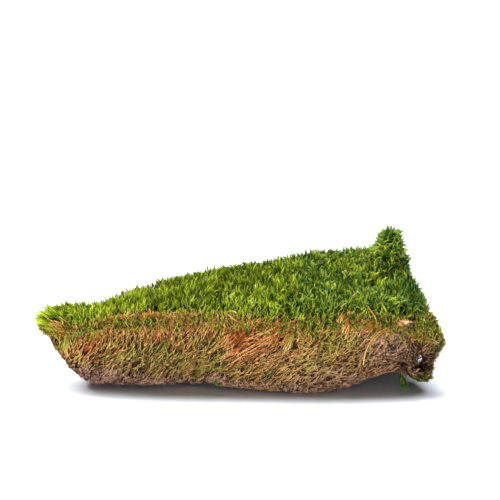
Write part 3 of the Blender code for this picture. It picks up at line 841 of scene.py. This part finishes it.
def grow_mat(rng):
    """Stems that climb the side of the mat, some of them deep and painted dark as shade, with small leaves
    along them.
    """
    places, turned = scatter(*MAT, MAT_TRIES * 3, rng)
    keep = (turned[:, 2] < 0.72) & (turned[:, 2] > -0.93) & uncovered(places, turned)
    places, turned = only(slice(MAT_TRIES), *only(keep, places, turned))
    paths, facings, chosen = grow_paths(side_tree(), places, turned, rng)
    places = paths[:, MAT_STEPS // 3]
    deep = chosen < MAT_DEEP_SHOOTS
    count = len(paths)
    furrow = smooth(0.1, 0.45, wave(places, 5, 33))
    sunk = np.where(deep, rng.uniform(1.0, 2.0, count), rng.uniform(0.1, 1.0, count) + 0.9 * furrow) * MM
    paths = paths - facings * sunk[:, None, None]
    paths = off_ground(paths, 0.3 + edge_lift(paths[..., 0] / MM, paths[..., 1] / MM))
    hue, light, felt = mat_colours(places, rng)
    # Painted shade: the deep stems and those in the furrows are darker.
    light = np.clip(np.where(deep, light * 0.3, light - 0.45 * furrow), 0, 1)
    leafy = rng.uniform(0.5, 1.0, count)
    bare = rng.random(count) < 0.2
    reach = np.maximum(rng.normal(1.2, 3.4, count), 0.4) * MM

    radius = np.full((count, MAT_STEPS), MAT_STEM_RADIUS_MM * MM) * np.linspace(1.2, 0.5, MAT_STEPS)[None]
    stem_light = np.clip(light * 0.8 + 0.3 * bare, 0, 1)
    dress(tubes("mat_stems", paths, radius, dead_values(hue, stem_light, felt), hue), DEAD, "stem_mat")

    behind = paths[:, 0, 1] > FRONT_Y * MM
    full = np.where(bare, 0.3, np.where(behind, 0.72, 1.0))
    shoot, base, out, points, side, width = mat_leaves(paths, facings, leafy, full, rng)
    # Leaves on stems that have climbed past the mat's edge reach only so far beyond it.
    mat_tree = tree_of(MAT[0])
    surface = base + out * sunk[shoot][:, None]
    beyond = np.array([mat_tree.find_nearest(Vector(place))[3] for place in surface])
    shoot, points, side, width = only(beyond < reach[shoot], shoot, points, side, width)
    hue, light, felt = varied(hue[shoot], 0.07, rng), varied(light[shoot], 0.2, rng), felt[shoot]
    front, left = ~behind[shoot], paths[shoot, 0, 0] < 0
    parts = {"front_left": front & left, "front_right": front & ~left, "back": ~front}
    values = dead_values(hue, light, felt)
    ribbon_parts("mat_leaves", parts, points, side, width, values, felt * 2 + hue, DEAD, "stem_mat")


def mat_leaves(paths, facings, leafy, full, rng):
    """Leaves along the leafy share of each stem: stem, base, way out, points, side and width."""
    per = int(MAT_STEP_MM * (MAT_STEPS - 1) / MAT_LEAF_GAP_MM)
    shoot = np.repeat(np.arange(len(paths)), per)
    number = np.tile(np.arange(per), len(paths))
    shoot, number = only(rng.random(len(shoot)) < full[shoot], shoot, number)
    count = len(shoot)
    spot = (number + rng.random(count)) / per * leafy[shoot] * (MAT_STEPS - 1)
    base, axis, k = along_lines(paths, shoot, spot)
    out = facings[shoot, k]
    aside = np.cross(axis, out)
    turn = number * LEAF_TURN + rng.normal(0, 0.3, count)
    hand, lift = np.sin(turn), 0.5 + 0.5 * np.cos(turn)
    spread = rng.uniform(0.1, 0.36, count) + (rng.random(count) < 0.25) * rng.uniform(0.1, 0.6, count)
    raised = 0.32 * lift * rng.uniform(0.3, 1, count)
    leaf = unit(axis + aside * (hand * spread)[:, None] + out * raised[:, None])
    bend = unit(-aside * hand[:, None] * 0.7 + out * rng.uniform(-0.9, 0.5, count)[:, None] + axis * 0.2)
    size = rng.uniform(*MAT_LEAF_LENGTH_MM, count) * MM
    points, side = arcs(base, leaf, bend, size, rng.gamma(2.2, 0.36, count), LEAF_RINGS)
    side = unit(np.cross(leaf, out) + rng.normal(0, 0.3, side.shape))
    side[..., 2] = np.where(base[:, 2] < MM, 0.0, side[..., 2])
    width = rng.uniform(*MAT_LEAF_WIDTH_MM, count) * MM
    return shoot, base, out, off_ground(points, 0.2), side, width


def grow_felt(rng):
    """Short tangled fibres and crumbs at the foot of the mat, in its wool and on the lobe."""
    places, turned = scatter(*MAT, (FELT_FIBRES + FELT_CRUMBS) * FELT_TRIES, rng)
    x, y, z = (places / MM).T
    wool = (near(*as_seen(places), WOOL_MIDDLE, *WOOL_REACH) > rng.random(len(x))) & (y < FRONT_Y)
    lobe = (x > LOBE_FELT_X) & (y < LOBE_FELT_Y) & (z < LOBE_FELT_TOP)
    ragged = 0.4 + edge_lift(x, y) * (1 + 0.6 * wave(places, 6, 35))
    keep = ((z < felt_top(x) + 1) | wool | lobe) & (z > ragged)
    places, turned = only(keep, places, turned)
    places, turned = only(uncovered(places, turned, LOW_COVER_MM), places, turned)
    fibres, outward = only(slice(FELT_FIBRES), places, turned)
    count = len(fibres)
    x, y, z = (fibres / MM).T
    any_way = unit(rng.normal(0, 1, (count, 3)))
    # Near the lobe the fibres are drawn out to the right and up.
    drawn = smooth(70, 86, x) * (x < 110) * (y < FRONT_Y)
    any_way = any_way + drawn[:, None] * np.array([[1.2, 0, 0.8]])
    flat = unit(any_way - outward * np.sum(any_way * outward, axis=1, keepdims=True))
    heading = unit(flat + outward * rng.uniform(0.0, 0.5, (count, 1)))
    base = fibres - outward * (rng.uniform(0.2, 1.6, count) * MM)[:, None]
    length = rng.uniform(*FELT_LENGTH_MM, count) * (1 + 0.6 * drawn) * MM
    bend, curl = -outward + flat * 0.3, rng.uniform(0.3, 1.6, count)
    points, side = arcs(base, heading, bend, length, curl, LEAF_RINGS)
    side = unit(np.cross(heading, outward) + rng.normal(0, 0.4, side.shape))
    hue, light, felt = mat_colours(fibres, rng)
    light = varied(0.76 * light, 0.34, rng)
    # Painted shade: the felt low on the lobe's front, round its hollow, is darker.
    light = np.where((x > LOBE_SHADE_X) & (z < LOBE_FELT_TOP) & (y < LOBE_FELT_Y), light * 0.3, light)
    values = dead_values(hue, light, np.maximum(felt, 0.7))
    width = rng.uniform(*FELT_WIDTH_MM, count) * MM
    made = ribbons("felt_fibres", off_ground(points, 0.3), side, width, LEAF_PROFILE, values, light)
    dress(made, DEAD, "stem_mat")
    grow_crumbs(*only(slice(FELT_FIBRES, FELT_FIBRES + FELT_CRUMBS), places, turned), rng)


def grow_crumbs(places, outward, rng):
    """Crumbs of soil and root caught in the felt, as irregular eight-sided grains."""
    count = len(places)
    shape = np.array([[1, 0, 0], [-1, 0, 0], [0, 1, 0], [0, -1, 0], [0, 0, 1], [0, 0, -1]], dtype=float)
    faces = np.array([[0, 2, 4], [2, 1, 4], [1, 3, 4], [3, 0, 4], [2, 0, 5], [1, 2, 5], [3, 1, 5], [0, 3, 5]])
    size = rng.gamma(3.0, 0.16, (count, 1, 1)) * MM + 0.2 * MM
    jitter = rng.uniform(0.6, 1.3, (count, len(shape), 1))
    verts = off_ground((places - outward * 0.5 * MM)[:, None] + shape[None] * jitter * size, 0.05)
    loops = ((np.arange(count) * len(shape))[:, None, None] + faces[None]).ravel()
    hue, light, _ = mat_colours(places, rng)
    light = varied(light * 0.6, 0.35, rng)
    values = dead_values(hue, light, np.ones(count))
    sizes = np.full(count * len(faces), 3)
    along, across = [0.5] * len(shape), [0.0, 1.0, 0.5, 0.5, 0.2, 0.8]
    dress(strand_mesh("felt_crumbs", verts, loops, sizes, along, across, values, light), DEAD, "stem_mat")


# The torn lobe

def grow_lobe_moss(rng):
    """Dark green moss on the torn lobe: its crown, its right flank and its lower rim."""
    places, turned = scatter(*MAT, LOBE_MOSS_TRIES, rng)
    x, y, z = (places / MM).T
    crown = smooth(38, 44, z + 3 * wave(places, 6, 51)) * smooth(116, 120, x)
    flank = smooth(127, 131, x + 3 * wave(places, 7, 52)) * smooth(22, 28, z) * (1 - smooth(36, 40, z) * 0.7)
    rim = 0.6 * (1 - smooth(8, 14, z))
    from_hollow = [(p - m) / h for p, m, h in zip((x, z), HOLLOW_MIDDLE, HOLLOW_MOSS_HALF)]
    chance = np.maximum(np.maximum(crown, flank), rim) * (x > LOBE_MOSS_X) * (y < LOBE_MOSS_Y)
    chance = chance * (np.hypot(*from_hollow) > 1)
    places, turned = only(rng.random(len(x)) < chance, places, turned)
    places, turned = only(spaced(places, LOBE_MOSS_GAP_MM * MM), places, turned)
    places, turned = only(uncovered(places, turned, LOW_COVER_MM), places, turned)
    shoot = np.repeat(np.arange(len(places)), LOBE_LEAVES)
    count = len(shoot)
    heading = unit(0.55 * UP + 0.7 * turned + rng.normal(0, 0.2, places.shape))[shoot]
    leaf = unit(heading + rng.normal(0, 0.4, (count, 3)))
    base = (places - turned * 1.3 * MM)[shoot]
    bend = unit(rng.normal(0, 1, (count, 3)))
    length = rng.uniform(*LOBE_LEAF_LENGTH_MM, count) * MM
    points, side = arcs(base, leaf, bend, length, rng.gamma(2.4, 0.35, count), LEAF_RINGS)
    tone = varied(0.22 + 0.25 * wave(places, 5, 53)[shoot], 0.16, rng)
    straw = (rng.random(count) < 0.12) * rng.uniform(0.4, 1, count)
    cool = (rng.random(count) < 0.25) * rng.uniform(0.3, 0.9, count)
    width = rng.uniform(*LOBE_LEAF_WIDTH_MM, count) * MM
    values = live_values(tone, straw, cool)
    made = ribbons("lobe_moss", off_ground(points, 0.1), side, width, LEAF_PROFILE, values, tone)
    dress(made, LIVE, "stem_mat")


def grow_torn_fibres(rng):
    """Fibres that half close the lobe's hollow from its rim, and ones that hang in the notch, painted dark as
    the shade in there.
    """
    count = HOLLOW_FIBRES
    angle = rng.uniform(0, 2 * pi, count)
    inward = rng.uniform(0.2, 0.75, count) + 0.25 * np.maximum(np.sin(angle), 0)
    y = rng.uniform(*HOLLOW_Y, count)
    steps = np.linspace(0, 1, TORN_STEPS)[None]
    reach = 1.0 - inward[:, None] * steps
    turn = angle[:, None] + rng.normal(0, 0.5, (count, 1)) * steps
    points = np.stack([
        HOLLOW_MIDDLE[0] + HOLLOW_HALF[0] * reach * np.cos(turn),
        y[:, None] + rng.normal(0, 2.0, (count, 1)) * steps,
        HOLLOW_MIDDLE[1] + HOLLOW_HALF[1] * reach * np.sin(turn),
    ], axis=-1)
    torn_fibres("hollow_fibres", points * MM, rng)

    count = NOTCH_FIBRES
    top = [rng.uniform(*NOTCH_TOP_X, count), rng.uniform(*NOTCH_Y, count), np.full(count, NOTCH_TOP_Z)]
    end_x, aside = rng.uniform(*NOTCH_END_X, count), rng.normal(0, 2, count)
    end = [end_x, top[1] + aside, rng.uniform(*NOTCH_END_Z, count)]
    top, end = np.stack(top, axis=1)[:, None], np.stack(end, axis=1)[:, None]
    points = top * (1 - steps[..., None]) + end * steps[..., None]
    points = points + np.cumsum(rng.normal(0, 0.4, points.shape), axis=1)
    torn_fibres("notch_fibres", points * MM, rng)


def torn_fibres(name, points, rng):
    count, rings = points.shape[:2]
    radius = rng.uniform(0.2, 0.5, (count, 1)) * np.linspace(1.2, 0.4, rings)[None] * MM
    # Their light is low, as painted shade.
    values = dead_values(*(rng.uniform(*limits, count) for limits in ((0.2, 0.6), (0.0, 0.3), (0.2, 1.0))))
    dress(tubes(name, points, radius, values, values["hue"]), DEAD, "stem_mat")


# Single strands

def stray_points(table, rng):
    """Lines draped over the front, with the values of their table row."""
    lines, rows = [], []
    stations = np.linspace(0, 1, STRAY_STEPS)
    for path, number, apart, *values in table:
        several = number > 1
        for _ in range(number):
            flat = curve(path, STRAY_STEPS) + rng.normal(0, apart, 2)
            start, end = rng.uniform(0.0, 0.35) * several, 1 - rng.uniform(0.0, 0.35) * several
            spots = np.linspace(start, end, STRAY_STEPS)
            flat = np.stack([np.interp(spots, stations, flat[:, i]) for i in (0, 1)], axis=1)
            flat = flat + np.cumsum(rng.normal(0, 0.5, flat.shape), axis=0) * several
            lift = rng.uniform(0.2, 1.6) * MM
            line = [on_face(x, z, lift) for x, z in flat]
            if None in line:
                continue
            line = np.array(line)
            for _ in range(3):
                line[1:-1] = (line[:-2] + 2 * line[1:-1] + line[2:]) / 4
            lines.append(line)
            rows.append(values)
    return np.array(lines), np.array(rows).T


def grow_strays(rng):
    points, (radius, hue, light) = stray_points(STRAY_STEMS, rng)
    hue, light = varied(hue, 0.06, rng), varied(light, 0.12, rng)
    radius = radius[:, None] * MM * np.linspace(1.1, 0.55, STRAY_STEPS)[None]
    made = tubes("stray_stems", points, radius, dead_values(hue, light, np.zeros(len(hue))), hue, sides=5)
    dress(made, DEAD, "stem_mat")

    points, (width, tone, straw) = stray_points(STRAY_LEAVES, rng)
    side = unit(np.cross(unit(points[:, -1] - points[:, 0]), np.array([[0, -1.0, 0.2]])))
    tone, straw = varied(tone, 0.08, rng), varied(straw, 0.08, rng)
    values = live_values(tone, straw, np.zeros(len(tone)))
    dress(ribbons("stray_leaves", points, side, width * MM, STRAY_PROFILE, values, tone), LIVE, "living_moss")


def centre_line(name, stations):
    """Points along the middle of a slender solid, from its top down."""
    points = node_triangles(name)[0].reshape(-1, 3)
    low, high = points[:, 2].min(), points[:, 2].max()
    line = []
    for level in np.linspace(high, low, stations):
        weight = np.exp(-(((points[:, 2] - level) / (1.2 * MM)) ** 2))
        place = (points * weight[:, None]).sum(axis=0) / weight.sum()
        line.append([place[0], place[1], level])
    return np.array(line)


def leaves_on(line, number, spread, length_mm, width_mm, rng, lean=(0, 0, 0), inward=0.8):
    """Leaves that follow a stem: points, sides and widths."""
    spot = np.sort(rng.uniform(0, 0.8, number)) * (len(line) - 1)
    base, axis, _ = along_lines(line[None], 0, spot)
    out = around(axis, np.arange(number) * LEAF_TURN, (0.1, 0.9, 0.3))
    leaf = unit(axis + out * rng.uniform(*spread, number)[:, None] + np.array(lean))
    length = rng.uniform(*length_mm, number) * MM
    curl = rng.gamma(2.0, 0.3, number)
    points, side = arcs(base, leaf, axis * 0.6 - out * inward, length, curl, SLENDER_RINGS)
    return off_ground(points, 0.1), side, rng.uniform(*width_mm, number) * MM


def single_stem(name, line, radii_mm, hue, light, sides):
    radius = np.linspace(*radii_mm, len(line))[None] * MM
    values = dead_values(np.array([hue]), np.array([light]), np.zeros(1))
    return tubes(name, line[None], radius, values, np.zeros(1), sides)


def grow_sprig(rng):
    """The hanging shoot: a thin stem and long dark green leaves that point down."""
    line = centre_line("hanging_sprig", SPRIG_STATIONS)
    line = np.concatenate([line[:1] + np.array([SPRIG_ROOT_MM]) * MM, line])
    dress(single_stem("sprig_stem", line, (0.5, 0.2), 0.35, 0.5, 6), DEAD, "sprig", "hanging_sprig")
    count = SPRIG_LEAVES
    points, side, width = leaves_on(
        line, count, (0.1, 0.6), SPRIG_LEAF_LENGTH_MM, SPRIG_LEAF_WIDTH_MM, rng,
        lean=(0, -0.3, 0), inward=-0.7,
    )
    tone = np.clip(rng.normal(0.4, 0.25, count), 0, 1)
    values = live_values(tone, (rng.random(count) < 0.1) * 0.7, (rng.random(count) < 0.4) * 0.8)
    dress(ribbons("sprig_leaves", points, side, width, SLENDER_PROFILE, values, tone), LIVE, "sprig")


def grow_loose_stem(rng):
    """The long pale stem on the front, with the husks of its leaves pressed to it."""
    line = centre_line("loose_stem", LOOSE_STEM_STATIONS)
    dress(single_stem("loose_stem_core", line, (0.5, 0.3), 0.46, 1.0, 8), DEAD, "dry_stem", "loose_stem")
    points, side, width = leaves_on(line[::-1], HUSKS, (0.02, 0.3), HUSK_LENGTH_MM, HUSK_WIDTH_MM, rng)
    hue = np.clip(rng.normal(0.45, 0.06, HUSKS), 0, 1)
    values = dead_values(hue, rng.uniform(0.6, 1, HUSKS), np.zeros(HUSKS))
    dress(ribbons("loose_stem_husks", points, side, width, SLENDER_PROFILE, values, hue), DEAD, "dry_stem")


def grow_dry_leaf(rng):
    """The torn flake of dead leaf: a thin curled sheet with a ragged outline."""
    low, high = (np.array(c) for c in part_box("dry_leaf_flake"))
    middle, half = (low + high) / 2, (high - low) / 2
    turns = SHEET_TURNS
    angle = np.linspace(0, 2 * pi, turns, endpoint=False)
    torn = 0.74 + 0.12 * np.sin(3 * angle + 1) + 0.12 * np.sin(5 * angle) + rng.uniform(-0.16, 0.14, turns)
    torn = torn + 0.2 * (np.cos(2 * angle - 0.5) > 0.85) - 0.25 * (np.cos(angle - 1.9) > 0.93)
    share = np.linspace(0, 1, SHEET_RINGS + 1)[1:]
    u, w = (np.append(0, np.outer(share, torn * way(angle))) for way in (np.cos, np.sin))
    rim = np.append(0, np.repeat(share, turns))
    curl = 1.5 * u**2 + 2.2 * np.abs(w + 0.45 * u) - 0.8 + 0.45 * np.sin(6 * u + 4 * w)
    across, up = middle[0] + half[0] * u, middle[2] + half[2] * w
    sheet = np.stack([across, middle[1] - (0.9 + curl) * MM, up], axis=1)
    back = sheet + np.array([0, SHEET_MM * MM, 0])
    count = len(sheet)
    faces = [(0, 1 + (i + 1) % turns, 1 + i) for i in range(turns)]
    for r in range(SHEET_RINGS - 1):
        for i in range(turns):
            a, b = 1 + r * turns + i, 1 + r * turns + (i + 1) % turns
            faces.append((a, b, b + turns, a + turns))
    outer = 1 + (SHEET_RINGS - 1) * turns
    edge = [(outer + i, outer + (i + 1) % turns) for i in range(turns)]
    rims = [(a, b, count + b, count + a) for a, b in edge]
    behind = [tuple(count + v for v in reversed(face)) for face in faces]
    mesh = bpy.data.meshes.new("dry_leaf")
    mesh.from_pydata(np.concatenate([sheet, back]).tolist(), [], faces + behind + rims)
    for name, data in (("across", (u + 1) / 2), ("rim", rim)):
        write_values(mesh, name, np.tile(np.clip(data, 0, 1), 2))
    dress(smooth_object("dry_leaf", mesh), dry_leaf_material(), "dry_leaf", "dry_leaf_flake")


# The inside, painted dark as shade

def shrunk_copy(name, source, depth_mm):
    """The solid drawn in along its normals, for the leaves to stand on. Its flat underside stays, and
    the mat's is lifted along its front edge."""
    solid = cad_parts[source]
    mesh = solid.data.copy()
    shape = bmesh.new()
    shape.from_mesh(mesh)
    bmesh.ops.remove_doubles(shape, verts=shape.verts, dist=WELD)
    bmesh.ops.triangulate(shape, faces=shape.faces)
    shape.normal_update()
    for vertex in shape.verts:
        n = vertex.normal
        on_lobe = vertex.co.x > LOBE_BED_X * MM and vertex.co.y < LOBE_BED_Y * MM
        thin = LOBE_BED_SHARE if on_lobe and source == "stem_mat" else 1.0
        vertex.co -= Vector((n.x, n.y, n.z if n.z > -0.5 else 0.0)) * depth_mm * thin * MM
        if source == "stem_mat" and vertex.co.z < MM:
            vertex.co.z += float(edge_lift(vertex.co.x / MM, vertex.co.y / MM)) * MM
    shape.to_mesh(mesh)
    shape.free()
    made = smooth_object(name, mesh)
    made.matrix_world = solid.matrix_world
    return made


def grow_beds():
    moss = shrunk_copy("carpet_bed", "living_moss", CARPET_BED_MM)
    # Both beds are painted dark, as the shade between the leaves.
    material = painted_shade_bed_material("carpet_bed", (0.002, 0.005, 0.001), (0.014, 0.024, 0.003), 3)
    dress(moss, material, "living_moss", "living_moss")
    mat = shrunk_copy("mat_bed", "stem_mat", MAT_BED_MM)
    material = painted_shade_bed_material("mat_bed", (0.012, 0.008, 0.004), (0.07, 0.042, 0.02), 1.6)
    dress(mat, material, "stem_mat", "stem_mat")


# The studio

def studio():
    scene = bpy.context.scene
    bpy.ops.mesh.primitive_plane_add(size=FLOOR_SIZE, location=FLOOR_MIDDLE)
    floor = bpy.context.object
    floor.name = "floor"
    paint = Paint("floor", 0.9, 0.1)
    paint.shader.inputs["Base Color"].default_value = (*FLOOR_COLOUR, 1)
    floor.data.materials.append(paint.material)

    world = scene.world or bpy.data.worlds.new("studio")
    scene.world = world
    world.use_nodes = True
    sky = world.node_tree.nodes["Background"]
    sky.inputs["Color"].default_value = (*SKY_COLOUR, 1)
    sky.inputs["Strength"].default_value = SKY_STRENGTH
    scene.view_settings.view_transform = "Standard"

    for name, (place, spread, power) in LAMPS.items():
        light = bpy.data.lights.new(name, "SUN")
        light.angle = radians(spread)
        light.energy = power
        lamp = bpy.data.objects.new(name, light)
        lamp.location = place
        lamp.rotation_euler = (-Vector(place)).to_track_quat("-Z", "Y").to_euler()
        scene.collection.objects.link(lamp)

    camera = bpy.data.cameras.new("camera")
    camera.sensor_width = SENSOR
    camera.lens = SENSOR * FOCAL_PIXELS / FRAME_PIXELS
    eye = bpy.data.objects.new("camera", camera)
    eye.location = EYE
    eye.rotation_euler = (pi / 2 - CAMERA_PITCH, 0, 0)
    scene.collection.objects.link(eye)
    scene.camera = eye


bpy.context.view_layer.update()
MOSS, MAT = node_triangles("living_moss"), node_triangles("stem_mat")
CLUMP = tree_of(MOSS[0], MAT[0])
LIVE, DEAD = leaf_material(), fibre_material()
grow_beds()
grow_carpet(np.random.default_rng(7))
grow_fringe(np.random.default_rng(9))
grow_mat(np.random.default_rng(11))
grow_felt(np.random.default_rng(13))
grow_lobe_moss(np.random.default_rng(17))
grow_torn_fibres(np.random.default_rng(37))
grow_strays(np.random.default_rng(19))
grow_sprig(np.random.default_rng(23))
grow_loose_stem(np.random.default_rng(29))
grow_dry_leaf(np.random.default_rng(31))
studio()
